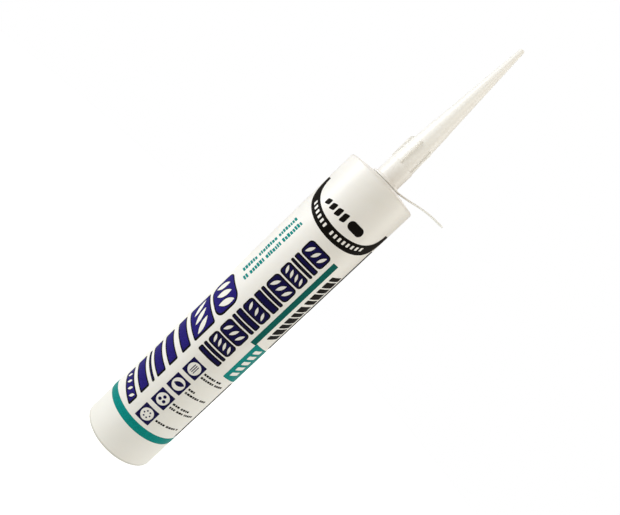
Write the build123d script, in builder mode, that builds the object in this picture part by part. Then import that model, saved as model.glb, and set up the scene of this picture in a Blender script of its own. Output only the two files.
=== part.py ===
from build123d import *
import os
from math import cos, radians, sin

# Caulking-gun cartridge of the 310 ml size, standing on its open tail.
# Frame: millimetres, +Z along the axis towards the nozzle, origin at the
# centre of the tail rim, the nozzle's pull strap pointing along +X.

# ---- cartridge: barrel, shoulder and neck in one moulding ----
barrel_length = 218.0        # tail rim to the shoulder's outer edge
barrel_radius = 24.4
barrel_wall = 1.2
tail_round = 0.4             # outside edge of the tail rim
tail_lead_in = 0.3           # inside edge, where the plunger is pressed in
shoulder_rise = 2.3          # the shoulder is a shallow cone up to the seat
shoulder_round = 1.4
shoulder_inner_round = 1.0
shoulder_wall = 1.5
seat_margin = 0.8            # the flat land reaches this far past the nozzle's foot
neck_radius = 7.0            # over the crests of the thread
neck_wall = 1.7
neck_height = 12.0           # above the land
neck_lead_in = 0.6
membrane = 0.6               # thin skin that seals the neck until it is pierced

# ---- nozzle ----
thread_clearance = 0.08      # radial, between the crests and the nozzle's socket
seat_gap = 0.3               # between the land and the nozzle's foot
socket_headroom = 0.4        # between the neck's top and the socket's ceiling
foot_ledge = 0.87            # flat rim of the foot, outside its bevel
foot_thickness = 0.9
foot_bevel = 0.8
collar_wall = 1.05
collar_crown = 1.1           # socket's ceiling to the top of the collar
collar_step = 0.35           # the cone starts this much inside the collar
cone_ring_height = 43.2      # foot to the small step part way up the cone
cone_ring_radius = 6.05
cone_ring_step = 0.22
nozzle_height = 103.4        # foot to tip
tip_radius = 1.55
tip_round = 0.35
tip_bore_radius = 0.85
passage_step = 1.48          # the passage starts this much inside the socket
fin_count = 5
fin_stand = 0.47             # outer edge of a fin, proud of the collar
fin_height = 17.2            # above the collar
fin_root = 0.45              # a fin's foot starts this far outside the passage
fin_sink = 1.0               # and this far below the top of the collar
fin_lead_in = 0.6            # its lower corner is cut back this much
fin_run_out = 2.4            # sloping top of a fin
fin_thickness = 1.1

# ---- pull strap, moulded on the nozzle's foot ----
strap_width = 7.0
strap_thickness = 0.8
strap_reach = 41.6           # axis to the strap's end
strap_lift = 4.9             # how far the free end curves up
strap_knee_reach = 30.0      # where the upward curve levels out
strap_knee_lift = 4.3

# ---- plunger ----
plunger_depth = 12.0         # tail rim to the plunger's skirt
plunger_clearance = 0.06     # radial, lips to barrel
plunger_height = 19.0
plunger_wall = 1.2
plunger_crown = 1.5
plunger_relief = 0.9         # the skirt between the lips is this much smaller
lip_height = 2.2
lip_slope = 1.2
crown_flat_radius = 11.0
crown_fall = 2.3             # the crown's edge lies this far below its flat
rib_count = 8
rib_depth = 4.5
rib_thickness = 1.0
rib_recess = 3.0             # skirt edge to the ribs' lower ends

# ---- caulk ----
paste_gap = 0.05             # paste to the moulding around it
plunger_gap = 0.3            # paste to the plunger's crown

# ---- worked out: barrel and neck ----
bore_radius = barrel_radius - barrel_wall
socket_radius = neck_radius + thread_clearance
collar_radius = socket_radius + collar_wall
foot_radius = collar_radius + foot_bevel + foot_ledge
seat_radius = foot_radius + seat_margin
seat_z = barrel_length + shoulder_rise
neck_top = seat_z + neck_height
neck_bore_radius = neck_radius - neck_wall
shoulder_inside = seat_z - shoulder_wall

# ---- worked out: nozzle and strap ----
foot_z = seat_z + seat_gap
socket_depth = neck_height - seat_gap + socket_headroom
collar_height = socket_depth + collar_crown
cone_start_radius = collar_radius - collar_step
passage_mouth_radius = socket_radius - passage_step
fin_radius = collar_radius + fin_stand
fin_foot = collar_height - fin_sink
strap_start = (socket_radius + foot_radius) / 2
strap_end = strap_reach + strap_thickness
strap_z = foot_z + (foot_thickness - strap_thickness) / 2

# ---- worked out: plunger ----
lip_radius = bore_radius - plunger_clearance
skirt_radius = lip_radius - plunger_relief
skirt_bore_radius = skirt_radius - plunger_wall
crown_top = plunger_depth + plunger_height
crown_edge = crown_top - crown_fall


def corner(sketch, radius, height):
    """The corner of a revolved section that lies nearest a radius and height."""
    return sketch.vertices().sort_by_distance((radius, height, 0))[0]


# The cartridge is one revolved section: outside from the tail up to the neck,
# inside from the membrane back down to the tail.
with BuildPart() as cartridge:
    with BuildSketch(Plane.XZ) as section:
        with BuildLine():
            Polyline(
                (bore_radius + tail_lead_in, 0),
                (barrel_radius, 0),
                (barrel_radius, barrel_length),
                (seat_radius, seat_z),
                (neck_radius, seat_z),
                (neck_radius, neck_top - neck_lead_in),
                (neck_radius - neck_lead_in, neck_top),
                (0, neck_top),
                (0, neck_top - membrane),
                (neck_bore_radius, neck_top - membrane),
                (neck_bore_radius, shoulder_inside),
                (seat_radius, shoulder_inside),
                (bore_radius, barrel_length - shoulder_wall),
                (bore_radius, tail_lead_in),
                close=True,
            )
        make_face()
        fillet(corner(section, barrel_radius, 0), tail_round)
        fillet(corner(section, barrel_radius, barrel_length), shoulder_round)
        fillet(corner(section, bore_radius, barrel_length - shoulder_wall), shoulder_inner_round)
    revolve(axis=Axis.Z)
cartridge.part.label = "cartridge"


# The strap leaves the foot level and curves gently up. Its side view is cut
# to the plan outline: parallel sides and a rounded end.
with BuildPart() as strap:
    with BuildSketch(Plane.XZ):
        with BuildLine():
            low = Spline(
                (strap_start, strap_z),
                (strap_knee_reach, strap_z + strap_knee_lift),
                (strap_end, strap_z + strap_lift),
                tangents=[(1, 0.08), (1, 0.02)],
            )
            high = Spline(
                (strap_start, strap_z + strap_thickness),
                (strap_knee_reach, strap_z + strap_knee_lift + strap_thickness),
                (strap_end, strap_z + strap_lift + strap_thickness),
                tangents=[(1, 0.08), (1, 0.02)],
            )
            Line(low @ 0, high @ 0)
            Line(low @ 1, high @ 1)
        make_face()
    extrude(amount=strap_width, both=True)
    with BuildSketch(Plane.XY.offset(strap_z - strap_lift)):
        SlotCenterPoint((0, 0), (strap_reach - strap_width / 2, 0), strap_width)
    extrude(amount=4 * strap_lift, mode=Mode.INTERSECT)


# The nozzle: foot, collar over the threaded neck, and a long hollow cone with
# grip fins at its root.
with BuildPart() as nozzle:
    with BuildSketch(Plane.XZ) as section:
        with BuildLine():
            Polyline(
                (socket_radius, foot_z),
                (foot_radius, foot_z),
                (foot_radius, foot_z + foot_thickness),
                (collar_radius + foot_bevel, foot_z + foot_thickness),
                (collar_radius, foot_z + foot_thickness + foot_bevel),
                (collar_radius, foot_z + collar_height),
                (cone_start_radius, foot_z + collar_height),
                (cone_ring_radius, foot_z + cone_ring_height),
                (cone_ring_radius - cone_ring_step, foot_z + cone_ring_height),
                (tip_radius, foot_z + nozzle_height),
                (tip_bore_radius, foot_z + nozzle_height),
                (passage_mouth_radius, foot_z + socket_depth),
                (socket_radius, foot_z + socket_depth),
                close=True,
            )
        make_face()
        fillet(corner(section, tip_radius, foot_z + nozzle_height), tip_round)
    revolve(axis=Axis.Z)
    for i in range(fin_count):
        angle = radians(180 + i * 360 / fin_count)
        outward = (cos(angle), sin(angle), 0)
        across = (sin(angle), -cos(angle), 0)
        with BuildSketch(Plane(origin=(0, 0, foot_z), x_dir=outward, z_dir=across)):
            with BuildLine():
                Polyline(
                    (passage_mouth_radius + fin_root, fin_foot),
                    (fin_radius - fin_lead_in, fin_foot),
                    (fin_radius, collar_height),
                    (fin_radius, collar_height + fin_height - fin_run_out),
                    (cone_ring_radius, collar_height + fin_height),
                    close=True,
                )
            make_face()
        extrude(amount=fin_thickness / 2, both=True)
    add(strap.part)
nozzle.part.label = "nozzle"


# The plunger is a cup that opens towards the tail, with a wiping lip at each
# end of its skirt and radial ribs under its crown.
with BuildPart() as plunger:
    with BuildSketch(Plane.XZ) as section:
        with BuildLine():
            Polyline(
                (skirt_bore_radius, plunger_depth),
                (lip_radius, plunger_depth),
                (lip_radius, plunger_depth + lip_height),
                (skirt_radius, plunger_depth + lip_height + lip_slope),
                (skirt_radius, crown_edge - lip_height - lip_slope),
                (lip_radius, crown_edge - lip_height),
                (lip_radius, crown_edge),
                (crown_flat_radius, crown_top),
                (0, crown_top),
                (0, crown_top - plunger_crown),
                (crown_flat_radius, crown_top - plunger_crown),
                (skirt_bore_radius, crown_edge - plunger_crown),
                close=True,
            )
        make_face()
    revolve(axis=Axis.Z)
    for i in range(rib_count):
        angle = radians((i + 0.5) * 360 / rib_count)
        outward = (cos(angle), sin(angle), 0)
        across = (sin(angle), -cos(angle), 0)
        with BuildSketch(Plane(origin=(0, 0, 0), x_dir=outward, z_dir=across)):
            with BuildLine():
                Polyline(
                    (skirt_bore_radius + plunger_wall / 2, plunger_depth + rib_recess),
                    (skirt_bore_radius + plunger_wall / 2, crown_edge - plunger_crown / 2),
                    (skirt_bore_radius - rib_depth, crown_edge - plunger_crown / 2),
                    (skirt_bore_radius - rib_depth, crown_edge - plunger_crown - rib_depth),
                    (skirt_bore_radius - rib_depth / 3, plunger_depth + rib_recess),
                    close=True,
                )
            make_face()
        extrude(amount=rib_thickness / 2, both=True)
plunger.part.label = "plunger"


# The caulk fills the barrel from the plunger's crown to the shoulder, and the
# neck up to the membrane.
with BuildPart() as caulk:
    with BuildSketch(Plane.XZ) as section:
        with BuildLine():
            Polyline(
                (0, crown_top + plunger_gap),
                (crown_flat_radius, crown_top + plunger_gap),
                (bore_radius - paste_gap, crown_edge + plunger_gap),
                (bore_radius - paste_gap, barrel_length - shoulder_wall - paste_gap),
                (seat_radius, shoulder_inside - paste_gap),
                (neck_bore_radius - paste_gap, shoulder_inside - paste_gap),
                (neck_bore_radius - paste_gap, neck_top - membrane - paste_gap),
                (0, neck_top - membrane - paste_gap),
                close=True,
            )
        make_face()
        inner_corner = corner(section, bore_radius, barrel_length - shoulder_wall)
        fillet(inner_corner, shoulder_inner_round)
    revolve(axis=Axis.Z)
caulk.part.label = "caulk"


os.makedirs("parts", exist_ok=True)
export_step(cartridge.part, "parts/cartridge.step")
export_step(nozzle.part, "parts/nozzle.step")
export_step(plunger.part, "parts/plunger.step")
export_step(caulk.part, "parts/caulk.step")
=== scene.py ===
# %% [markdown]
# # A caulk tube, dressed around its CAD frame
# The object is a cartridge of decorator's caulk for a hand gun: a white barrel with a shoulder and a
# threaded neck, a long screw-on nozzle with a pull strap, a plunger pushed in at the tail, and the paste.
# The CAD model is the frame: it fixes every size, and every piece made here rides on one of its bodies.

# %% Load the frame
import math
import random

import bmesh
import bpy
from mathutils import Matrix, Vector
from mathutils.geometry import tessellate_polygon


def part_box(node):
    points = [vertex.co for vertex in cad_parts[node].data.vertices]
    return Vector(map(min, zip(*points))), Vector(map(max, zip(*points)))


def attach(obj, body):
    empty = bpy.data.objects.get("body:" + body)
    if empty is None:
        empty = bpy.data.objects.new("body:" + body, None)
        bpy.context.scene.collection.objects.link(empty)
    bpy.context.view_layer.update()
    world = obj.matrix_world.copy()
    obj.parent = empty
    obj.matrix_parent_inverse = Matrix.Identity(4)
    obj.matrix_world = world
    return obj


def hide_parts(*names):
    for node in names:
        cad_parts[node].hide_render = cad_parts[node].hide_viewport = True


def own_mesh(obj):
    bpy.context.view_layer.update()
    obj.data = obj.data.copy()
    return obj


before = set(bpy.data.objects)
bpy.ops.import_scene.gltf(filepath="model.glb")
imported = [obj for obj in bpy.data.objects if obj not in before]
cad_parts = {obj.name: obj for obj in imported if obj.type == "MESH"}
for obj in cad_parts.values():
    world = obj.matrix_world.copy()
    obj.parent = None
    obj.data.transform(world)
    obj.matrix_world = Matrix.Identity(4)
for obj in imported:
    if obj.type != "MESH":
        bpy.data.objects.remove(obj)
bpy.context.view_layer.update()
MM = 0.001

# %% Sizes taken from the frame, in millimetres
tube_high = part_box("cartridge")[1] / MM
nozzle_low, nozzle_high = (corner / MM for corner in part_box("nozzle"))
plunger_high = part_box("plunger")[1] / MM
barrel_radius = tube_high.x
neck_top = tube_high.z
foot_z = nozzle_low.z
tip_z = nozzle_high.z
strap_reach = nozzle_high.x
print(f"barrel radius {barrel_radius:.2f}, neck top {neck_top:.2f}, foot {foot_z:.2f}, tip {tip_z:.2f}")

# %% [markdown]
# ## Camera
# The tube stands upright and the camera is rolled, so that the tube lies across the frame. The camera
# is close, about a third of a metre, which makes the tail smaller than the shoulder. A camera can be
# aimed with a constraint, but a constraint leaves the roll open, so the turn is built as a matrix: look
# along +Y, tip down a little, then roll about the line of sight.

# %% Camera
LENS_MM, SENSOR_MM = 34.5, 36.0
CAMERA_PLACE_MM = (0, -344.96, 197.99)
scene = bpy.context.scene
camera_data = bpy.data.cameras.new("camera")
camera_data.lens = LENS_MM
camera_data.sensor_width = SENSOR_MM
camera = bpy.data.objects.new("camera", camera_data)
scene.collection.objects.link(camera)
pan, tilt, roll = 0.0052, 0.1126, 0.8099     # radians
turn_to_view = (
    Matrix.Rotation(-pan, 4, "Z")
    @ Matrix.Rotation(math.pi / 2 - tilt, 4, "X")
    @ Matrix.Rotation(roll, 4, "Z")
)
camera.matrix_world = Matrix.Translation(Vector(CAMERA_PLACE_MM) * MM) @ turn_to_view
scene.camera = camera
print("camera at", [round(v, 3) for v in camera.matrix_world.translation])

# %% [markdown]
# ## Studio
# A white plastic tube on white needs light that leaves a shade somewhere. One very large soft box on the
# left burns the left side out to the colour of the paper, a weaker one on the right lifts the far edge,
# and the darkest strip is left just right of the middle. A small card close to the nozzle lifts its
# milky plastic. A dome of light alone would be simpler, but it would leave the tube flat. The air is
# white to the camera and a dim warm room to everything else. The paper floor glows by itself, so it
# looks nearly as white as the air, and it throws light up on the tube as real paper does.

# %% Colour helper
def paint(code):
    """An sRGB hex colour, such as #F1EFE9, as the linear RGBA that shaders work in."""
    parts = [int(code[i:i + 2], 16) / 255 for i in (1, 3, 5)]
    return [p / 12.92 if p <= 0.04045 else ((p + 0.055) / 1.055) ** 2.4 for p in parts] + [1.0]


print("mid grey in linear light:", round(paint("#808080")[0], 3))


# %% Node helper
def add_node(tree, kind, settings=None, links=None):
    """Adds one node. Settings are its own options or socket values, and links feed its sockets."""
    made = tree.nodes.new("ShaderNode" + kind)
    for name, value in (settings or {}).items():
        if isinstance(name, int) or name in made.inputs:
            made.inputs[name].default_value = value
        else:
            setattr(made, name, value)
    for name, source in (links or {}).items():
        tree.links.new(source, made.inputs[name])
    return made


print("add_node takes a socket by its name or its number")

# %% Air: white to the camera, a dim warm room to everything else
air = bpy.data.worlds.new("studio_air")
scene.world = air
air.use_nodes = True
air.node_tree.nodes.clear()
ROOM_GLOW = 0.34
seen = add_node(air.node_tree, "LightPath")
white_air = add_node(air.node_tree, "Background", {"Color": paint("#FFFFFF"), "Strength": 1.0})
room_air = add_node(air.node_tree, "Background", {"Color": paint("#FFF2E2"), "Strength": ROOM_GLOW})
either = add_node(
    air.node_tree, "MixShader",
    links={0: seen.outputs["Is Camera Ray"], 1: room_air.outputs[0], 2: white_air.outputs[0]},
)
add_node(air.node_tree, "OutputWorld", links={"Surface": either.outputs[0]})
scene.view_settings.view_transform = "Standard"
scene.view_settings.look = "None"
print("room glow", ROOM_GLOW)


# %% Soft boxes
def soft_box(name, azimuth, height, distance, width, tall, power, tint, aim_height=0.15):
    """A soft box, in metres and watts. Its azimuth is in degrees, from the front to the right."""
    lamp = bpy.data.lights.new(name, "AREA")
    lamp.shape = "RECTANGLE"
    lamp.size, lamp.size_y = width, tall
    lamp.energy = power
    lamp.color = paint(tint)[:3]
    box = bpy.data.objects.new(name, lamp)
    scene.collection.objects.link(box)
    turn = math.radians(azimuth)
    box.location = (distance * math.sin(turn), -distance * math.cos(turn), height)
    aim = Vector((0, 0, aim_height)) - box.location
    box.rotation_euler = aim.to_track_quat("-Z", "Y").to_euler()
    box.visible_camera = False
    print(name, "at", azimuth, "degrees,", power, "W")


soft_box("key_left", -78, 0.31, 0.50, 0.28, 0.34, 1.9, "#F6FAFF")
soft_box("fill_right", 92, 0.22, 0.80, 0.40, 0.80, 1.8, "#FFFDF8")
soft_box("nozzle_card", 30, 0.38, 0.22, 0.10, 0.12, 0.165, "#FFFBF2", 0.25)
soft_box("top_back", 170, 0.85, 0.80, 0.80, 0.50, 3.0, "#FFFFFF")

# %% Matt white paper
paper = bpy.data.materials.new("studio_paper")
paper.use_nodes = True
tree = paper.node_tree
tree.nodes.clear()
paper_seen = add_node(tree, "BsdfPrincipled", {
    "Base Color": paint("#B4B4B2"), "Roughness": 0.9,
    "Emission Color": paint("#FFFFFF"), "Emission Strength": 0.93,
})
paper_bounce = add_node(tree, "Emission", {"Color": paint("#FDFFF8"), "Strength": 0.97})
seen = add_node(tree, "LightPath")
either = add_node(
    tree, "MixShader",
    links={0: seen.outputs["Is Camera Ray"], 1: paper_bounce.outputs[0], 2: paper_seen.outputs[0]},
)
# Seen from underneath the paper is clear, so that it never hides the tail.
below = add_node(tree, "NewGeometry")
clear = add_node(tree, "BsdfTransparent")
one_way = add_node(
    tree, "MixShader", links={0: below.outputs["Backfacing"], 1: either.outputs[0], 2: clear.outputs[0]},
)
add_node(tree, "OutputMaterial", links={"Surface": one_way.outputs[0]})
print(paper.name, "has", len(tree.nodes), "nodes")

# %% Paper floor
PAPER_RADIUS = 0.75
floor_mesh = bpy.data.meshes.new("floor")
floor_build = bmesh.new()
bmesh.ops.create_circle(floor_build, cap_ends=True, segments=96, radius=PAPER_RADIUS)
floor_build.to_mesh(floor_mesh)
floor_build.free()
floor_mesh.materials.append(paper)
floor = bpy.data.objects.new("floor", floor_mesh)
scene.collection.objects.link(floor)
print("paper floor", PAPER_RADIUS * 2, "m across")

# %% [markdown]
# ## Barrel plastic
# The barrel, shoulder and neck are one injection moulding in white-pigmented HDPE. It is a waxy plastic:
# a soft, broad shine, not a mirror, and a little light goes in and spreads. The polished steel core and
# cavity leave a very slight orange peel, and the barrel shows faint draw marks along its length, where it
# was pulled off the core. Those marks could be cut into the mesh, but they are far too shallow to show
# in an outline. So noise at the two real sizes drives a bump, and a slow cloud of a few centimetres makes
# the white slightly uneven, as the pigment never mixes perfectly.

# %% White moulded HDPE
def new_material(name):
    """A material with an empty node tree, and that tree."""
    made = bpy.data.materials.new(name)
    made.use_nodes = True
    made.node_tree.nodes.clear()
    return made, made.node_tree


PEEL_MM = 0.9        # orange peel, drawn coarse enough to show
DRAW_MM = 0.6        # draw marks round the barrel
CLOUD_MM = 28.0      # slow change of the white
hdpe, tree = new_material("white_moulded_hdpe")
place = add_node(tree, "TexCoord")
peel = add_node(tree, "TexNoise", {"Scale": 1 / (PEEL_MM * MM), "Detail": 2.0},
                {"Vector": place.outputs["Object"]})
stretch = add_node(tree, "Mapping", {"Scale": (1.0, 1.0, 0.02)}, {"Vector": place.outputs["Object"]})
draw = add_node(tree, "TexNoise", {"Scale": 1 / (DRAW_MM * MM), "Detail": 3.0},
                {"Vector": stretch.outputs[0]})
cloud = add_node(tree, "TexNoise", {"Scale": 1 / (CLOUD_MM * MM), "Detail": 2.0},
                 {"Vector": place.outputs["Object"]})
whites = add_node(tree, "ValToRGB", links={"Fac": cloud.outputs[0]})
whites.color_ramp.elements[0].position = 0.3
whites.color_ramp.elements[0].color = paint("#F1EFEA")
whites.color_ramp.elements[1].position = 0.7
whites.color_ramp.elements[1].color = paint("#F6F4F0")
print("peel", PEEL_MM, "mm, draw marks", DRAW_MM, "mm, clouds", CLOUD_MM, "mm")

# %% Painted shade at the tail rim, shine and relief of the HDPE
RIM_SHADE_MM = 1.6       # painted shade: the white greys towards the tail rim up to here
RIM_SHADE_FULL_MM = 0.3  # and fully so below this
up = add_node(tree, "SeparateXYZ", links={"Vector": place.outputs["Object"]})
near_rim = add_node(tree, "MapRange", {
    "From Min": RIM_SHADE_MM * MM, "From Max": RIM_SHADE_FULL_MM * MM, "To Min": 0.0, "To Max": 0.75,
}, {"Value": up.outputs["Z"]})
# Painted shade: the barrel's white is mixed towards grey near the tail rim, where it stands on the floor.
rim_shaded = add_node(tree, "Mix", {"data_type": "RGBA", 7: paint("#BDBBB3")},
                   {0: near_rim.outputs[0], 6: whites.outputs[0]})
shine = add_node(tree, "MapRange", {"To Min": 0.33, "To Max": 0.43}, {"Value": peel.outputs[0]})
heights = add_node(tree, "Math", {"operation": "MULTIPLY_ADD", 1: 0.6},
                   {0: draw.outputs[0], 2: peel.outputs[0]})
relief = add_node(tree, "Bump", {"Strength": 0.3, "Distance": 0.05 * MM}, {"Height": heights.outputs[0]})
skin = add_node(tree, "BsdfPrincipled", {
    "IOR": 1.54, "Subsurface Weight": 0.15, "Subsurface Radius": (1.0, 0.9, 0.75),
    "Subsurface Scale": 0.8 * MM,
}, {"Base Color": rim_shaded.outputs[2], "Roughness": shine.outputs[0], "Normal": relief.outputs[0]})
add_node(tree, "OutputMaterial", links={"Surface": skin.outputs[0]})
print(hdpe.name, "has", len(tree.nodes), "nodes")

# %% [markdown]
# ## Nozzle plastic
# The nozzle is LDPE, softer and with less pigment, so a little light travels a millimetre or two through
# it and the thin cone looks milky. Its mould was turned on a lathe, so fine rings run round the cone. A
# wave texture would draw them too evenly, so they come from a noise stretched flat: long around the
# axis, short along it. The shine varies with a fine grain, as a handled part's does.

# %% Milky moulded LDPE
RING_MM = 1.2        # turning marks of the mould, drawn coarser than they are so that they show
GRAIN_MM = 1.4       # patches of slightly different milk and shine
ldpe, tree = new_material("milky_moulded_ldpe")
place = add_node(tree, "TexCoord")
flatten = add_node(tree, "Mapping", {"Scale": (0.05, 0.05, 1.0)}, {"Vector": place.outputs["Object"]})
rings = add_node(tree, "TexNoise", {"Scale": 1 / (RING_MM * MM), "Detail": 2.0},
                 {"Vector": flatten.outputs[0]})
grain = add_node(tree, "TexNoise", {"Scale": 1 / (GRAIN_MM * MM), "Detail": 3.0},
                 {"Vector": place.outputs["Object"]})
milk = add_node(tree, "ValToRGB", links={"Fac": grain.outputs[0]})
milk.color_ramp.elements[0].position = 0.35
milk.color_ramp.elements[0].color = paint("#FAF8F3")
milk.color_ramp.elements[1].position = 0.65
milk.color_ramp.elements[1].color = paint("#FDFCF8")
shine = add_node(tree, "MapRange", {"To Min": 0.30, "To Max": 0.40}, {"Value": grain.outputs[0]})
relief = add_node(tree, "Bump", {"Strength": 0.12, "Distance": 0.05 * MM}, {"Height": rings.outputs[0]})
skin = add_node(tree, "BsdfPrincipled", {
    "IOR": 1.51, "Subsurface Weight": 0.08, "Subsurface Radius": (1.0, 0.95, 0.88),
    "Subsurface Scale": 1.5 * MM,
}, {"Base Color": milk.outputs[0], "Roughness": shine.outputs[0], "Normal": relief.outputs[0]})
add_node(tree, "OutputMaterial", links={"Surface": skin.outputs[0]})
print(ldpe.name, "has", len(tree.nodes), "nodes")

# %% [markdown]
# ## Turning a profile
# Barrel, neck and nozzle are all round, so they start as a profile: radius and height, point by point,
# with a small round wherever the mould has one. A moulding never has a knife edge, and those tiny rounds
# are what catch the light. The profile is then swept round the axis. Blender's Screw modifier sweeps a
# profile too, but every turn of it is the same. Here a function may change the radius as it turns, which
# is how the screw thread gets its helix.

# %% Profile with rounded corners
ARC_STEPS = 5        # straight bits in each round
LEAD_MM = 0.35       # short straights beside a round, which keep the shading flat


def rounded_path(corners, closed=False):
    """Points of a profile from its corners; a corner is (radius, height, round)."""
    path = []
    count = len(corners)
    for i, (r, z, fillet) in enumerate(corners):
        here = Vector((r, z))
        if fillet == 0 or (not closed and i in (0, count - 1)):
            path.append(here)
            continue
        before = Vector(corners[i - 1][:2]) - here
        after = Vector(corners[(i + 1) % count][:2]) - here
        half_turn = before.angle(after) / 2
        reach = min(fillet / math.tan(half_turn), before.length * 0.45, after.length * 0.45)
        fillet = reach * math.tan(half_turn)
        start, end = here + before.normalized() * reach, here + after.normalized() * reach
        middle = here + (before.normalized() + after.normalized()).normalized() * (
            fillet / math.sin(half_turn))
        lead = start + before.normalized() * min(LEAD_MM, before.length * 0.2)
        tail = end + after.normalized() * min(LEAD_MM, after.length * 0.2)
        sweep = (start - middle).angle_signed(end - middle)
        path.append(lead)
        for k in range(ARC_STEPS + 1):
            spoke = start - middle
            spoke.rotate(Matrix.Rotation(-sweep * k / ARC_STEPS, 2))
            path.append(middle + spoke)
        path.append(tail)
    return path


square = [(1, 0, 0.2), (2, 0, 0.2), (2, 1, 0.2), (1, 1, 0.2)]
print("a square with four rounds has", len(rounded_path(square, True)), "points")

# %% Sweep a profile round the axis
ON_AXIS_MM = 1e-6    # a point nearer than this is the single point of a pole


def turned(name, path, steps, closed, material, radius_at=None):
    """A closed mesh of revolution. An open path must start and end on the axis."""
    build = bmesh.new()
    loops = []
    for r, z in path:
        if r < ON_AXIS_MM:
            loops.append([build.verts.new((0, 0, z * MM))])
            continue
        loop = []
        for k in range(steps):
            angle = 2 * math.pi * k / steps
            radius = radius_at(r, z, angle) if radius_at else r
            loop.append(build.verts.new(
                (radius * math.cos(angle) * MM, radius * math.sin(angle) * MM, z * MM)))
        loops.append(loop)
    pairs = list(zip(loops, loops[1:] + loops[:1])) if closed else list(zip(loops, loops[1:]))
    for one, two in pairs:
        for k in range(steps):
            ring = [one[k % len(one)], one[(k + 1) % steps % len(one)],
                    two[(k + 1) % steps % len(two)], two[k % len(two)]]
            build.faces.new(list(dict.fromkeys(ring)))
    bmesh.ops.recalc_face_normals(build, faces=build.faces)
    mesh = bpy.data.meshes.new(name)
    build.to_mesh(mesh)
    build.free()
    mesh.materials.append(material)
    piece = bpy.data.objects.new(name, mesh)
    scene.collection.objects.link(piece)
    mesh.shade_smooth()
    print(name, "has", len(mesh.polygons), "faces")
    return piece


# %% [markdown]
# ## Cartridge
# One profile runs from the middle of the sealed neck, over the shoulder, down the barrel, round the tail
# rim and back up the bore. The barrel is drawn five hundredths of a millimetre slim, so that the ink laid
# on it later ends just inside the CAD radius. The neck carries a coarse single-start thread. It could be a
# separate coil joined on, but a coil would stand outside the CAD's plain cylinder. So the cylinder is
# the crests, and the radius function cuts the valleys in below it.

# %% Cartridge profile
print_depth = 0.05
slim = barrel_radius - print_depth
bore = barrel_radius - 1.2
barrel_top = 218.0
land_z = foot_z - 0.3
land_radius = 10.6
neck_radius = 7.0
neck_bore = 5.3
under_shoulder = land_z - 1.5
skin_thick = 0.6
THREAD_RINGS, THREAD_RING_STEP = 44, 0.22     # rings of points, close enough to draw the flanks
thread_start, thread_end = land_z + 1.6, neck_top - 1.3
thread_rings = [(neck_radius, neck_top - 1.1 - k * THREAD_RING_STEP, 0) for k in range(THREAD_RINGS)]
cartridge_corners = [
    (0, neck_top, 0),
    (neck_bore - 0.9, neck_top, 0.2),
    (neck_bore - 0.7, neck_top - 0.15, 0.1),
    (neck_radius - 0.6, neck_top, 0.15),
    (neck_radius, neck_top - 0.6, 0.2),
    *thread_rings,
    (neck_radius, land_z, 0.35),
    (land_radius, land_z, 0.5),
    (slim, barrel_top, 1.4),
    (slim, 0, 0.4),
    (bore + 0.3, 0, 0.12),
    (bore, 0.3, 0.1),
    (bore, barrel_top - 1.5, 1.0),
    (land_radius, under_shoulder, 0),
    (neck_bore, under_shoulder, 0.3),
    (neck_bore, neck_top - skin_thick, 0.2),
    (0, neck_top - skin_thick, 0),
]
print("cartridge profile has", len(cartridge_corners), "corners")

# %% Screw thread
THREAD_PITCH = 2.5
THREAD_DEPTH = 0.62
FLANK_STEEPNESS, CREST_HALF = 5.0, 0.75       # slope of the flanks, and where they begin
THREAD_RUN_OUT = 0.9


def thread_radius(r, z, angle):
    """Right-handed thread: flat crests and valleys with sloping flanks, faded out at both ends."""
    if abs(r - neck_radius) > 0.01 or z < thread_start or z > thread_end:
        return r
    turns = (z / THREAD_PITCH - angle / (2 * math.pi)) % 1.0
    valley = min(1.0, max(0.0, (0.5 - abs(turns - 0.5)) * FLANK_STEEPNESS - CREST_HALF))
    fade = min(1.0, (z - thread_start) / THREAD_RUN_OUT, (thread_end - z) / THREAD_RUN_OUT)
    return r - THREAD_DEPTH * valley * max(0.0, fade)


cartridge = turned("cartridge_moulding", rounded_path(cartridge_corners), 256, False, hdpe, thread_radius)
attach(cartridge, "cartridge")
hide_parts("cartridge")

# %% [markdown]
# ## Nozzle
# The nozzle is turned too: a foot, a collar that screws over the neck, a long hollow cone with one small
# step where the mould's two halves of the cavity meet, and a round tip. Its socket has the thread's
# mirror cut into it. Grip fins and the pull strap are not round, so they are made as separate solids.
# They could simply be pushed into the cone, but hidden faces inside a milky plastic show as dark
# shapes. So a Boolean union joins them on, which leaves one clean skin, as the real moulding has.

# %% Nozzle body
socket = neck_radius + 0.08
collar = socket + 1.05
foot_radius = collar + 1.67
cone_start = collar - 0.35
ceiling = foot_z + 12.1
crown = ceiling + 1.1
ring_z = foot_z + 43.2
passage = socket - 1.48
ring_radius, above_ring_radius = 6.05, 5.83
tip_radius, tip_bore = 1.55, 0.85
SOCKET_RINGS, SOCKET_RING_STEP = 38, 0.25
SOCKET_GROOVE, SOCKET_RUN_OUT = 0.4, 0.8
socket_rings = [(socket, ceiling - 1.2 - k * SOCKET_RING_STEP, 0) for k in range(SOCKET_RINGS)]
nozzle_corners = [
    (foot_radius, foot_z, 0.2),
    (foot_radius, foot_z + 0.9, 0.2),
    (collar + 0.8, foot_z + 0.9, 0.1),
    (collar, foot_z + 1.7, 0.15),
    (collar, crown, 0.18),
    (cone_start, crown, 0.1),
    (ring_radius, ring_z, 0.1),
    (above_ring_radius, ring_z, 0.05),
    (tip_radius, tip_z, 0.35),
    (tip_bore, tip_z, 0.1),
    (passage, ceiling, 0.3),
    (socket, ceiling, 0.15),
    *socket_rings,
    (socket, foot_z, 0.15),
]


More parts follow.
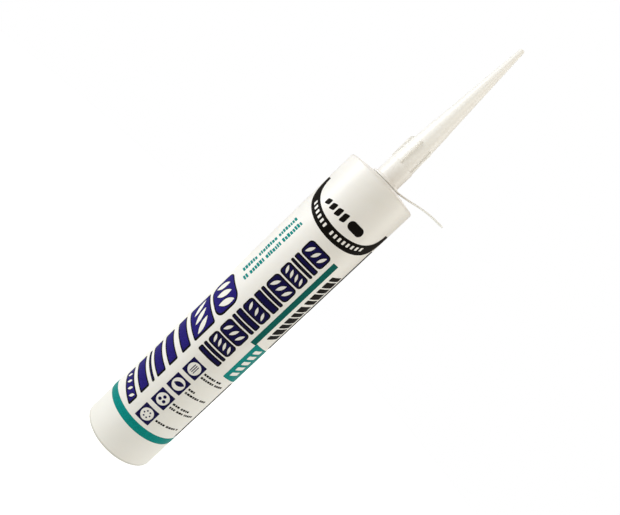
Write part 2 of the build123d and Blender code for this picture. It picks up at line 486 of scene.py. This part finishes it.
def socket_thread(r, z, angle):
    """The thread's valleys again, cut outwards into the socket's wall."""
    low, high = foot_z + 1.5, ceiling - 1.4
    if abs(r - socket) > 0.01 or z < low or z > high:
        return r
    turns = (z / THREAD_PITCH - angle / (2 * math.pi)) % 1.0
    groove = min(1.0, max(0.0, abs(turns - 0.5) * FLANK_STEEPNESS - CREST_HALF))
    fade = min(1.0, (z - low) / SOCKET_RUN_OUT, (high - z) / SOCKET_RUN_OUT)
    return r + SOCKET_GROOVE * groove * max(0.0, fade)


nozzle = turned("nozzle_moulding", rounded_path(nozzle_corners, True), 192, True, ldpe, socket_thread)


# %% Grip fins
def finish_solid(build, name, material):
    """Turns a bmesh into a linked object with one material."""
    bmesh.ops.recalc_face_normals(build, faces=build.faces)
    mesh = bpy.data.meshes.new(name)
    build.to_mesh(mesh)
    build.free()
    mesh.materials.append(material)
    piece = bpy.data.objects.new(name, mesh)
    scene.collection.objects.link(piece)
    return piece


FIN_COUNT = 5
FIN_HALF, FIN_ROUND = 0.55, 0.16
fin_edge = collar + 0.47
fin_side = [
    (passage + 0.45, crown - 1.0), (fin_edge - 0.6, crown - 1.0), (fin_edge, crown),
    (fin_edge, crown + 14.8), (ring_radius, crown + 17.2),
]


def grip_fin(angle):
    """A thin upright wing; its edges are rounded a little, as the mould's are."""
    build = bmesh.new()
    faces = []
    for side in (-FIN_HALF, FIN_HALF):
        faces.append([build.verts.new((r * MM, side * MM, z * MM)) for r, z in fin_side])
    build.faces.new(faces[0])
    build.faces.new(list(reversed(faces[1])))
    for k in range(len(fin_side)):
        m = (k + 1) % len(fin_side)
        build.faces.new([faces[0][k], faces[0][m], faces[1][m], faces[1][k]])
    bmesh.ops.bevel(build, geom=list(build.edges), offset=FIN_ROUND * MM, segments=2, affect="EDGES")
    bmesh.ops.rotate(build, verts=build.verts, matrix=Matrix.Rotation(angle, 3, "Z"))
    return finish_solid(build, "fin", ldpe)


fins = [grip_fin(math.pi + 2 * math.pi * k / FIN_COUNT) for k in range(FIN_COUNT)]
print(len(fins), "grip fins")

# %% Pull strap
STRAP_HALF, STRAP_THICK, STRAP_ROUND = 3.5, 0.8, 0.3
STRAIGHT_RINGS, END_RINGS = 44, 12
strap_root, strap_knee = (socket + foot_radius) / 2, 30.0
strap_z = foot_z + 0.05
knee_lift, end_lift = 4.3, 4.9
root_slope, knee_slope, end_slope = 0.08, 0.134, 0.02


def strap_height(x):
    """Underside of the strap: two smooth spans that meet at the knee."""
    spans = [(strap_root, 0, root_slope, strap_knee, knee_lift, knee_slope),
             (strap_knee, knee_lift, knee_slope, strap_reach + 0.8, end_lift, end_slope)]
    x0, y0, m0, x1, y1, m1 = spans[0] if x < strap_knee else spans[1]
    h = x1 - x0
    t = (x - x0) / h
    return strap_z + (y0 * (1 + 2 * t) * (1 - t) ** 2 + m0 * h * t * (1 - t) ** 2
                      + y1 * t * t * (3 - 2 * t) + m1 * h * t * t * (t - 1))


print("strap's end", round(strap_height(strap_reach) - strap_z, 2), "mm above its root")


# %% Strap from rings across its length
def strap_section(half):
    """Outline across the strap: a flat bar with four rounded corners."""
    corner = min(STRAP_ROUND, half * 0.5)
    outline = []
    for turn in range(4):
        cy = (half - corner) * (1 if turn in (0, 3) else -1)
        cz = STRAP_THICK / 2 + (STRAP_THICK / 2 - corner) * (1 if turn in (0, 1) else -1)
        for k in range(4):
            a = math.pi / 2 * (turn + k / 3)
            outline.append((cy + corner * math.cos(a), cz + corner * math.sin(a)))
    return outline


def pull_strap():
    """A flat tongue with a round end and soft edges."""
    build = bmesh.new()
    end_start = strap_reach - STRAP_HALF
    straight = [strap_root + (end_start - strap_root) * k / STRAIGHT_RINGS
                for k in range(STRAIGHT_RINGS + 1)]
    round_end = [strap_reach - STRAP_HALF * (1 - math.sin(math.pi / 2 * k / END_RINGS))
                 for k in range(1, END_RINGS + 1)]
    rings_made = []
    for x in straight + round_end:
        over = max(0.0, x - end_start)
        half = math.sqrt(max(0.02, STRAP_HALF ** 2 - over ** 2))
        low = strap_height(x)
        rings_made.append([build.verts.new((x * MM, y * MM, (low + z) * MM))
                           for y, z in strap_section(half)])
    for one, two in zip(rings_made, rings_made[1:]):
        for k in range(len(one)):
            m = (k + 1) % len(one)
            build.faces.new([one[k], one[m], two[m], two[k]])
    build.faces.new(rings_made[0])
    build.faces.new(list(reversed(rings_made[-1])))
    return finish_solid(build, "strap", ldpe)


strap = pull_strap()
print("strap reaches", round(strap_reach, 2), "mm from the axis")


# %% Join fins and strap to the nozzle
SHARP_DEGREES = 38   # an edge that turns more than this is shaded as an edge


def weld(body, extras):
    """Boolean unions, applied one after another; the helpers are then removed."""
    for extra in extras:
        join = body.modifiers.new("join", "BOOLEAN")
        join.operation = "UNION"
        join.solver = "MANIFOLD"
        join.object = extra
        bpy.context.view_layer.update()
        graph = bpy.context.evaluated_depsgraph_get()
        solid = bpy.data.meshes.new_from_object(body.evaluated_get(graph))
        body.modifiers.clear()
        body.data = solid
        bpy.data.objects.remove(extra)
    body.data.shade_smooth()
    body.data.set_sharp_from_angle(angle=math.radians(SHARP_DEGREES))
    print(body.name, "has", len(body.data.polygons), "faces after joining")


weld(nozzle, fins + [strap])
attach(nozzle, "nozzle")
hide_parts("nozzle")

# %% [markdown]
# ## Plunger and caulk
# The plunger keeps its CAD shape and only gets its plastic. The caulk is a soft paste that the plunger
# drives out. It is made as two pieces: the column in the barrel and the plug in the neck. Acrylic caulk
# is a thick, matt-wet white with tiny air pits left from filling. A cell texture draws the pits and a
# noise the swirl.

# %% Plunger finish
for material_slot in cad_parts["plunger"].material_slots:
    material_slot.material = ldpe
print("plunger in", ldpe.name)

# %% Acrylic paste
PIT_MM, PITS_APART = 0.7, 3      # size of an air pit, and their spacing in pits
SWIRL_MM = 6.0                   # folds left as the paste was pumped in
paste, tree = new_material("acrylic_caulk_paste")
place = add_node(tree, "TexCoord")
pits = add_node(tree, "TexVoronoi", {"Scale": 1 / (PIT_MM * PITS_APART * MM)},
                {"Vector": place.outputs["Object"]})
swirl = add_node(tree, "TexNoise", {"Scale": 1 / (SWIRL_MM * MM), "Detail": 4.0, "Distortion": 1.2},
                 {"Vector": place.outputs["Object"]})
body_white = add_node(tree, "ValToRGB", links={"Fac": swirl.outputs[0]})
body_white.color_ramp.elements[0].color = paint("#F3F1EA")
body_white.color_ramp.elements[1].color = paint("#FAF9F5")
wet = add_node(tree, "MapRange", {"To Min": 0.28, "To Max": 0.5}, {"Value": swirl.outputs[0]})
relief = add_node(tree, "Bump", {"Strength": 0.35, "Distance": 0.1 * MM}, {"Height": pits.outputs[0]})
skin = add_node(tree, "BsdfPrincipled", {
    "IOR": 1.47, "Subsurface Weight": 0.3, "Subsurface Radius": (1.0, 0.95, 0.85),
    "Subsurface Scale": 1.0 * MM,
}, {"Base Color": body_white.outputs[0], "Roughness": wet.outputs[0], "Normal": relief.outputs[0]})
add_node(tree, "OutputMaterial", links={"Surface": skin.outputs[0]})
print(paste.name, "has", len(tree.nodes), "nodes")

# %% Paste in the barrel and in the neck
plunger_top = plunger_high.z
paste_radius = bore - 0.05
column_corners = [
    (0, plunger_top + 0.3, 0),
    (11.0, plunger_top + 0.3, 1.0),
    (paste_radius, plunger_top - 2.0, 0.2),
    (paste_radius, barrel_top - 1.55, 1.0),
    (land_radius, under_shoulder - 0.05, 0),
    (0, under_shoulder - 0.05, 0),
]
column = turned("caulk_in_barrel", rounded_path(column_corners), 128, False, paste)
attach(column, "cartridge")
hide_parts("caulk")
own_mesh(column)
neck_corners = [
    (0, under_shoulder - 0.02, 0),
    (neck_bore - 0.35, under_shoulder - 0.02, 0.1),
    (neck_bore - 0.05, under_shoulder + 0.4, 0.1),
    (neck_bore - 0.05, neck_top - skin_thick - 0.05, 0.3),
    (0, neck_top - skin_thick - 0.05, 0),
]
neck_paste = turned("caulk_in_neck", rounded_path(neck_corners), 96, False, paste)
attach(neck_paste, "cartridge")

# %% [markdown]
# ## Print
# The barrel is printed by dry offset: flat inks laid round the tube from a rubber blanket. A picture on
# the barrel would blur close up, and a mask in the material would have no shape of its own. So each mark
# is a thin solid film of ink with a crisp edge. It is drawn flat, as if the barrel's skin were unrolled:
# s runs round the barrel to the right of the front, z runs up, both in millimetres. The film is cut into
# narrow strips and wrapped onto the barrel. Where a pack has words and a badge, this one has plain
# blocks, bars and dots that spell nothing.

# %% Offset inks
MOTTLE_MM = 0.8      # cloudiness of the ink, drawn coarser than it is so that it shows


def offset_ink(name, dark, light):
    """Flat, matt ink with the faint mottle of a rubber blanket. It reflects far less than the plastic."""
    made, ink_tree = new_material(name)
    where = add_node(ink_tree, "TexCoord")
    mottle = add_node(ink_tree, "TexNoise", {"Scale": 1 / (MOTTLE_MM * MM), "Detail": 3.0},
                      {"Vector": where.outputs["Object"]})
    tone = add_node(ink_tree, "ValToRGB", links={"Fac": mottle.outputs[0]})
    tone.color_ramp.elements[0].position = 0.35
    tone.color_ramp.elements[0].color = paint(dark)
    tone.color_ramp.elements[1].position = 0.65
    tone.color_ramp.elements[1].color = paint(light)
    gloss = add_node(ink_tree, "MapRange", {"To Min": 0.42, "To Max": 0.55}, {"Value": mottle.outputs[0]})
    dried = add_node(ink_tree, "BsdfPrincipled", {"IOR": 1.45, "Specular IOR Level": 0.08},
                     {"Base Color": tone.outputs[0], "Roughness": gloss.outputs[0]})
    add_node(ink_tree, "OutputMaterial", links={"Surface": dried.outputs[0]})
    return made


black_ink = offset_ink("black_offset_ink", "#080604", "#130F0A")
navy_ink = offset_ink("navy_offset_ink", "#0C0938", "#151050")
violet_ink = offset_ink("violet_blue_offset_ink", "#1E1664", "#2A2080")
teal_ink = offset_ink("deep_teal_offset_ink", "#00554F", "#00665F")
ring_ink = offset_ink("bright_teal_offset_ink", "#007E7A", "#00938E")
print("inks:", [ink.name for ink in (black_ink, navy_ink, violet_ink, teal_ink, ring_ink)])


# %% Flat shapes
def bar(s0, s1, z0, z1, fillet=0.0):
    """A rectangle between two places round the barrel and two heights, with optional round corners."""
    if fillet <= 0:
        return [(s0, z0), (s1, z0), (s1, z1), (s0, z1)]
    centres = [(s1 - fillet, z1 - fillet), (s0 + fillet, z1 - fillet),
               (s0 + fillet, z0 + fillet), (s1 - fillet, z0 + fillet)]
    steps = 2 if fillet < 0.5 else 5
    points = []
    for quarter, (s, z) in enumerate(centres):
        for k in range(steps + 1):
            a = math.pi / 2 * (quarter + k / steps)
            points.append((s + fillet * math.cos(a), z + fillet * math.sin(a)))
    return points


def disc(s, z, radius, steps=36):
    """A round spot."""
    return [(s + radius * math.cos(2 * math.pi * k / steps), z + radius * math.sin(2 * math.pi * k / steps))
            for k in range(steps)]


LEAF_STEPS = 12


def leaf(s, z, half, wide, angle=0.0):
    """A pointed lens, turned by an angle."""
    points = []
    for k in range(2 * LEAF_STEPS):
        t = k / LEAF_STEPS
        along, across = (1 - 2 * t, 1) if k < LEAF_STEPS else (2 * t - 3, -1)
        bulge = wide * across * (1 - along * along)
        points.append((s + half * along * math.cos(angle) - bulge * math.sin(angle),
                       z + half * along * math.sin(angle) + bulge * math.cos(angle)))
    return points


def lean(points, slope, about):
    """Slides every point up or down in step with its place round the barrel."""
    return [(s, z + slope * (s - about)) for s, z in points]


print("a leaf has", len(leaf(0, 0, 2, 1)), "points")

# %% Cut a flat drawing into strips
STRIP_MM = 1.2          # width of the flat strips that follow the barrel's curve
SAME_SPOT_MM = 0.02     # two points nearer than this count as one, which leaves no slivers


def cut_drawing(islands):
    """Points, faces and border of a drawing. An island is an outline, then those of its holes."""
    build = bmesh.new()
    for rings_drawn in islands:
        outlines = [[Vector((s, z, 0)) for s, z in ring] for ring in rings_drawn]
        points = [build.verts.new(place) for outline in outlines for place in outline]
        for tri in tessellate_polygon(outlines):
            corners = [points[k] for k in tri]
            if len(set(corners)) == 3:
                build.faces.new(corners)
    places = [v.co.x for v in build.verts]
    first, last = math.ceil(min(places) / STRIP_MM), math.floor(max(places) / STRIP_MM)
    for k in range(first, last + 1):
        bmesh.ops.bisect_plane(build, geom=[*build.verts, *build.edges, *build.faces],
                               dist=SAME_SPOT_MM, plane_co=(k * STRIP_MM, 0, 0), plane_no=(1, 0, 0))
    bmesh.ops.remove_doubles(build, verts=build.verts, dist=SAME_SPOT_MM)
    bmesh.ops.delete(build, geom=[v for v in build.verts if not v.link_faces], context="VERTS")
    build.verts.index_update()
    keys = [[v.index for v in f.verts] for f in build.faces]
    spots = [(v.co.x, v.co.y) for v in build.verts]
    border = [[v.index for v in e.verts] for e in build.edges if len(e.link_faces) == 1]
    build.free()
    return spots, keys, border


print("a square of 6 mm is cut into", len(cut_drawing([[bar(0.5, 6.5, 0, 6)]])[1]), "faces")

# %% Wrap ink round the barrel
ink_inside = slim - 0.03                # a film starts just under the plastic
ink_outside = barrel_radius - 0.004     # and ends just inside the CAD radius
INK_SHARP_DEGREES = 30


def film(name, islands, ink):
    """A closed film of ink: the drawing laid on two radii, with a wall along its border."""
    spots, keys, border = cut_drawing(islands)
    wrap = bmesh.new()
    layers = []
    for radius in (ink_inside, ink_outside):
        layers.append([wrap.verts.new((radius * math.sin(s / barrel_radius) * MM,
                                       -radius * math.cos(s / barrel_radius) * MM, z * MM))
                       for s, z in spots])
    for key in keys:
        wrap.faces.new([layers[1][k] for k in key])
        wrap.faces.new([layers[0][k] for k in reversed(key)])
    for one, two in border:
        wrap.faces.new([layers[0][one], layers[0][two], layers[1][two], layers[1][one]])
    bmesh.ops.recalc_face_normals(wrap, faces=wrap.faces)
    mesh = bpy.data.meshes.new(name)
    wrap.to_mesh(mesh)
    wrap.free()
    mesh.materials.append(ink)
    mesh.shade_smooth()
    mesh.set_sharp_from_angle(angle=math.radians(INK_SHARP_DEGREES))
    piece = bpy.data.objects.new(name, mesh)
    scene.collection.objects.link(piece)
    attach(piece, "cartridge")
    print(name, "has", len(mesh.polygons), "faces")


# %% [markdown]
# ### Crescent and ring
# The crescent is the lower half of one ellipse with a flatter ellipse taken out of it. A curve with
# handles could draw it too, but two ellipses put every point where it belongs. The row of pale dashes
# along it is simply left unprinted, so the white barrel shows. The ring goes right round the tube and
# can't be unrolled, so it is turned, as the barrel is.

# %% Crescent
CRESCENT_Z = 199.4
ELLIPSE_STEPS = 72
DASH_APART, DASH_HALF, DASH_DROP = 2.9, 31.0, 20.0     # the dashes lie along a third ellipse


def ellipse_low(half, drop, middle):
    """Lower half of an ellipse, from left to right."""
    turns = [math.pi + math.pi * k / ELLIPSE_STEPS for k in range(ELLIPSE_STEPS + 1)]
    return [(middle + half * math.cos(a), CRESCENT_Z + drop * math.sin(a)) for a in turns]


crescent = ellipse_low(34.4, 23.7, 0.8) + list(reversed(ellipse_low(28.2, 16.9, 0.0)))
dashes = []
for k in range(-7, 8):
    if k == -1:
        continue  # a gap parts the dashes in two runs
    s = k * DASH_APART
    depth = math.sqrt(1 - (s / DASH_HALF) ** 2)
    level = CRESCENT_Z - DASH_DROP * depth
    tilt_here = DASH_DROP * s / DASH_HALF ** 2 / depth
    dashes.append(lean(bar(s - 0.75, s + 0.75, level - 1.3, level + 1.3, 0.3), tilt_here, s))
film("print_crescent", [[crescent, *dashes]], black_ink)

# %% Ring round the tail
RING_LOW, RING_HIGH = 19.9, 25.1
ring_profile = [
    (ink_inside, RING_LOW), (ink_outside, RING_LOW),
    (ink_outside, RING_HIGH), (ink_inside, RING_HIGH),
]
ring = turned("print_ring", ring_profile, 256, True, ring_ink)
ring.data.set_sharp_from_angle(angle=math.radians(INK_SHARP_DEGREES))
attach(ring, "cartridge")

# %% [markdown]
# ### Blocks in place of the words
# A big upright word reads, from a step back, as a row of heavy dark blocks with small pale gaps. The row
# keeps that rhythm: ten blocks, each leafed or stacked. The slanted word becomes a shorter row of leaning
# ones. A big block has a dark line printed round it and a finer one round each gap, so it is drawn twice:
# its colour inside the line, and the line alone. A black block under a coloured one would be simpler,
# but two films can't lie in the same place. So an outline is a function that draws it moved in, or for a
# gap moved out, by a margin.

# %% Keylines
KEYLINE, GAP_LINE = 0.85, 0.45
LEAST_ROUND = 0.15


def slab(s0, s1, z0, z1, fillet):
    """A plain block's outline, as a function of the margin."""
    def outline(margin):
        round_left = max(LEAST_ROUND, fillet - margin)
        return bar(s0 + margin, s1 - margin, z0 + margin, z1 - margin, round_left)
    return outline


def keyed(blocks, slip=0.0):
    """Colour islands and line islands of some blocks; slip moves the colour back from the right."""
    fills, lines = [], []
    for outline, *gaps in blocks:
        inside = [(s - slip, z) for s, z in outline(KEYLINE)]
        fills.append([inside, *[gap(GAP_LINE) for gap in gaps]])
        lines.append([outline(0), inside])
        lines += [[gap(GAP_LINE), gap(0)] for gap in gaps]
    return fills, lines


print("keylines", KEYLINE, "and", GAP_LINE, "mm wide")

# %% Leafed and stacked blocks
LEAF_LONG, LEAF_WIDE = 0.33, 0.105      # half a leaf's length and width, for a slab one high


def leafed(span, low, high, count, tilt, corner):
    """A slab with a row of pale leaves left unprinted in it."""
    left, right = span
    tall = high - low
    step = (right - left) / (count + 0.6)

    def pale_leaf(place):
        s = (left + right) / 2 + step * (place - (count - 1) / 2)
        half, wide = LEAF_LONG * tall, LEAF_WIDE * tall
        return lambda margin: leaf(s, (low + high) / 2, half + margin / 2, wide + margin, tilt)

    return [[slab(left, right, low, high, corner), *[pale_leaf(k) for k in range(count)]]]


def stacked(span, low, high, share, apart=0.8, corner=0.9):
    """Two plain bars, one above the other; share is the upper bar's part of the height."""
    cut = high - share * (high - low)
    return [[slab(*span, cut + apart / 2, high, corner)], [slab(*span, low, cut - apart / 2, corner)]]


print("a leafed block has", len(leafed((0, 10), 0, 8, 3, 1.0, 1.0)[0]), "outlines")

# %% Tall row of navy blocks
ROW = (-5.0, 11.1)
row = [
    *leafed(ROW, 160.2, 169.7, 3, 1.1, 2.5), *stacked(ROW, 153.2, 159.3, 0.62),
    *leafed(ROW, 144.4, 152.2, 4, -1.1, 2.0), *leafed(ROW, 133.4, 143.4, 3, 1.1, 2.6),
    *stacked(ROW, 124.7, 132.5, 0.35), *leafed(ROW, 115.4, 123.6, 3, -1.1, 2.1),
    *stacked(ROW, 107.6, 114.6, 0.6), *leafed(ROW, 97.2, 106.6, 3, 1.1, 2.4),
    *leafed(ROW, 88.4, 96.4, 4, -1.1, 2.1), *stacked(ROW, 80.9, 87.5, 0.4),
]
row_fills, row_lines = keyed(row)
film("print_tall_row", row_fills, navy_ink)
film("print_tall_row_lines", row_lines, black_ink)

# %% Leaning row of violet blocks
LEAN = (-28.8, -8.8)
SLOPE = -0.28
SLIP = 0.35          # the colour stops this much short, so the line is heavier on the right
lean_middle = sum(LEAN) / 2
leaning_row = [
    *leafed(LEAN, 103.0, 120.5, 3, 1.25, 5.0), *leafed(LEAN, 84.6, 101.0, 3, -1.1, 1.2),
    *stacked(LEAN, 64.0, 81.6, 0.5, 3.8), *stacked(LEAN, 50.2, 61.2, 0.72, 2.2),
    [slab(*LEAN, 40.6, 47.6, 0.9)], *leafed(LEAN, 30.6, 37.8, 4, 1.1, 1.2),
]
leaning_fills, leaning_lines = [
    [[lean(outline, SLOPE, lean_middle) for outline in island] for island in islands]
    for islands in keyed(leaning_row, SLIP)
]
film("print_leaning_row", leaning_fills, violet_ink)
film("print_leaning_row_lines", leaning_lines, black_ink)

# %% [markdown]
# ### Small print, panel and strip
# Small print is too fine to read from an arm's length: it is seen as thin grey or teal lines, broken where
# the words end. Dashes of uneven length give that, and a fixed seed draws the same ones each time. The
# panel and the strip of heavy blocks beside the tall row are slanted, so they are drawn square and leaned.

# %% Small print as dashes
WORD_GAP_DOWN, WORD_GAP_ACROSS = 1.3, 0.9


def dash_column(s0, s1, z_top, z_bottom, seed, dash=1.35, gap=0.45):
    """Dashes stacked down the barrel, in runs of a few, with a wider gap after each run."""
    draws = random.Random(seed)
    made = []
    z, run = z_top, draws.randint(5, 8)
    while z - dash > z_bottom:
        long = dash * draws.uniform(0.75, 1.25)
        side = draws.choice((0.0, 0.0, 0.5))
        made.append([bar(s0 + side, s1, z - long, z, 0.2)])
        z -= long + gap
        run -= 1
        if run == 0:
            z -= WORD_GAP_DOWN
            run = draws.randint(5, 8)
    return made


def dash_line(s_left, s_right, z, tall, seed, dash=1.3, gap=0.35):
    """Dashes along a level line round the barrel."""
    draws = random.Random(seed)
    made = []
    s, run = s_left, draws.randint(3, 6)
    while s + dash < s_right:
        long = dash * draws.uniform(0.7, 1.3)
        made.append([bar(s, s + long, z - tall / 2, z + tall / 2)])
        s += long + gap
        run -= 1
        if run == 0:
            s += WORD_GAP_ACROSS
            run = draws.randint(3, 6)
    return made


print("wider gaps of", WORD_GAP_DOWN, "and", WORD_GAP_ACROSS, "mm after each run of dashes")

# %% Teal bar, slanted panel and teal small print
PANEL_LEFT, PANEL_SLOPE = 18.1, -0.17
MARKS, MARK_STEP = 5, 4.6
film("print_teal_bar", [[bar(13.8, 18.0, 104.0, 168.6)]], teal_ink)
panel = lean(bar(PANEL_LEFT, 35.6, 78.0, 105.2), PANEL_SLOPE, PANEL_LEFT)
marks = [lean(bar(21.6, 28.0, 98.9 - k * MARK_STEP, 101.6 - k * MARK_STEP, 0.5), 0.2, 24.0)
         for k in range(MARKS)]
film("print_teal_panel", [[panel, *marks]], ring_ink)
teal_small = dash_column(-23.5, -20.6, 170.6, 127.0, 11)
teal_small += dash_column(-18.1, -15.3, 171.0, 125.6, 12)
film("print_teal_small", teal_small, ring_ink)

# %% Black strip of blocks
BLOCK_GAP = 0.95
strip = []
high = 163.6
for tall in (3.2, 4.4, 3.2, 4.4, 3.2, 0, 4.4, 3.2, 4.4, 3.2, 4.4, 3.2):
    if tall:
        strip.append([lean(bar(20.8, 29.2, high - tall, high, 0.5), 0.34, 25.0)])
    high -= tall + BLOCK_GAP  # the 0 above leaves a wider gap
film("print_black_strip", strip, black_ink)

# %% [markdown]
# ### Tiles, pips and the back
# Four small tiles tell what the paste is for. Each is a square of ink with a round window left open, and
# a plain sign in the window: three bars, a leaf, three spots, or a ring of dots. A window could be white
# ink on top, but leaving the ink out is how white is printed on a white tube, and the barrel shows.
# The place of a badge gets a row of pips, and the back has columns of small print beside an empty frame.

# %% Four tiles with round windows
TILE_LEFT, TILE_RIGHT, TILE_TALL = -2.8, 7.3, 10.0
TILE_TOPS = (76.1, 63.3, 50.6, 37.6)
tile_middle = (TILE_LEFT + TILE_RIGHT) / 2


def spots(mid, ring_reach, radius, angles, steps=36):
    """Round spots on a circle about a tile's middle."""
    return [[disc(tile_middle + ring_reach * math.cos(a), mid + ring_reach * math.sin(a), radius, steps)]
            for a in angles]


def window_sign(number, mid):
    """Three bars, a leaf, three spots or a ring of dots."""
    if number == 0:
        return [[bar(tile_middle + k * 1.2 - 0.25, tile_middle + k * 1.2 + 0.25, mid - 2.4, mid + 2.4)]
                for k in (-1, 0, 1)]
    if number == 1:
        return [[leaf(tile_middle + 0.2, mid + 0.3, 3.2, 1.5, 0.35)]]
    if number == 2:
        return spots(mid, 1.7, 1.0, (1.57, 3.67, 5.76))
    return spots(mid, 2.0, 0.5, [k * math.pi / 3 for k in range(6)], 16)


tiles, tile_mids = [], []
for number, high in enumerate(TILE_TOPS):
    low = high - TILE_TALL
    mid = (high + low) / 2
    tile_mids.append(mid)
    tiles.append([bar(TILE_LEFT, TILE_RIGHT, low, high, 0.3), disc(tile_middle, mid, 3.95)])
    tiles += window_sign(number, mid)
film("print_tiles", tiles, navy_ink)

# %% Lines of dashes beside the tiles
LINE_LEFT, LINE_TALL = 8.5, 1.3
# Each line: its tile, its right end, its height above the tile's middle, its seed.
lines_beside = (
    (0, 21.4, 1.7, 30), (0, 25.9, -1.1, 40), (1, 15.2, 1.7, 31), (1, 25.3, -1.1, 41),
    (2, 21.4, 1.7, 32), (2, 27.2, -1.1, 42), (3, 26.4, 0.4, 33),
)
tile_lines = []
for number, right, above, seed in lines_beside:
    tile_lines += dash_line(LINE_LEFT, right, tile_mids[number] + above, LINE_TALL, seed)
film("print_tile_lines", tile_lines, black_ink)

# %% Badge place: a plain row of pips
PIPS, PIP_STEP, PIP_GROWTH = 4, 4.4, 0.3
pips = []
for k in range(PIPS):
    shift, grow = k * PIP_STEP, PIP_GROWTH * k
    pip = bar(-15.8 + shift, -12.6 + shift, 188.2 - grow, 191.8 + grow, 0.8)
    pips.append([lean(pip, 0.3, -14.2 + shift)])
pips.append([bar(2.6, 13.2, 187.3, 192.9, 2.7)])
film("print_pips", pips, black_ink)

# %% Border lines and the print behind
TEXT_TOP, COLUMN_STEP, COLUMN_WIDE = 165.0, 2.7, 1.5
text_blocks = ((44.0, 7, 52.0), (88.0, 6, 70.0))     # left end, columns, lowest line
behind = [[bar(31.2, 36.4, 26.0, 74.0)], [bar(31.2, 36.4, 105.0, 187.5)]]
for block, (s_start, columns, low) in enumerate(text_blocks):
    behind.append([bar(s_start, s_start + 3.4, low + 22.0, TEXT_TOP, 0.4)])
    for k in range(columns):
        s0 = s_start + 6.0 + COLUMN_STEP * k
        column_low = low + 9.0 * (k % 3)
        seed = 60 + 10 * block + k
        behind += dash_column(s0, s0 + COLUMN_WIDE, TEXT_TOP, column_low, seed, 1.1, 0.5)
behind.append([bar(70.0, 82.0, 96.0, 130.0, 1.0), bar(70.6, 81.4, 96.6, 129.4, 0.7)])
film("print_behind", behind, black_ink)
